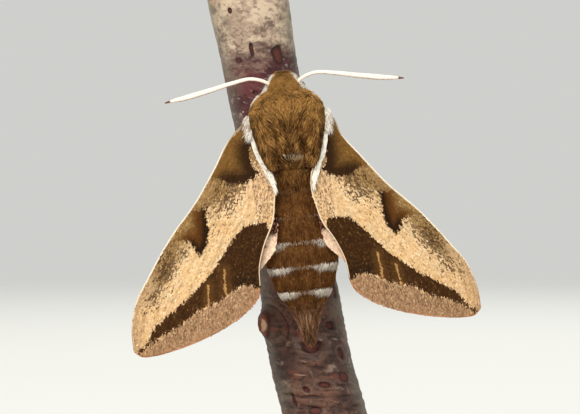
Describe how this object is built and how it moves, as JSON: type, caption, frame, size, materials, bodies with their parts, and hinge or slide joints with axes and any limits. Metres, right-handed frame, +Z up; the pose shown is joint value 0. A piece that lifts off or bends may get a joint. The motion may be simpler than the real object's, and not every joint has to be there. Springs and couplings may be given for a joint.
{
  "type": "spurge hawk-moth",
  "caption": "Still, life-size model of a resting hawk-moth, wings half spread as a low roof, gripping a cut length of branch held up by a round display stand.",
  "frame": {"origin": "centre of the stand base's underside, where the model rests on the floor", "axes": "+Z up, the moth's back faces -Y, +X to the right for a viewer who looks at its back"},
  "size_m": [0.06, 0.06, 0.078],
  "materials": {
    "brown_fur": "dense matt brown hair-scales, white edged",
    "wing_scales": "matt scales, cream with dark brown and olive bands",
    "hindwing_scales": "matt scales, pink and cream with dark bands",
    "white_scales": "matt white scales",
    "compound_eye": "glossy dark brown",
    "horn": "smooth brown horn",
    "leg_scales": "matt brown and white scales",
    "bark": "rough red-brown bark with pale grey film and pores",
    "lacquer": "satin black lacquered wood",
    "steel": "brushed"
  },
  "bodies": {
    "root": {"abdomen": "brown_fur", "antenna_left": "white_scales", "antenna_right": "white_scales", "eye_left": "compound_eye", "eye_right": "compound_eye", "forewing_left": "wing_scales", "forewing_right": "wing_scales", "head": "brown_fur", "hindwing_left": "hindwing_scales", "hindwing_right": "hindwing_scales", "leg_front_left_foot": "leg_scales", "leg_front_left_thigh": "leg_scales", "leg_front_left_tibia": "leg_scales", "leg_front_right_foot": "leg_scales", "leg_front_right_thigh": "leg_scales", "leg_front_right_tibia": "leg_scales", "leg_middle_left_foot": "leg_scales", "leg_middle_left_thigh": "leg_scales", "leg_middle_left_tibia": "leg_scales", "leg_middle_right_foot": "leg_scales", "leg_middle_right_thigh": "leg_scales", "leg_middle_right_tibia": "leg_scales", "leg_rear_left_foot": "leg_scales", "leg_rear_left_thigh": "leg_scales", "leg_rear_left_tibia": "leg_scales", "leg_rear_right_foot": "leg_scales", "leg_rear_right_thigh": "leg_scales", "leg_rear_right_tibia": "leg_scales", "palp_left": "brown_fur", "palp_right": "brown_fur", "perch": "bark", "proboscis": "horn", "stand_base": "lacquer", "stand_rod": "steel", "tegula_left": "brown_fur", "tegula_right": "brown_fur", "thorax": "brown_fur"}
  },
  "joints": []
}
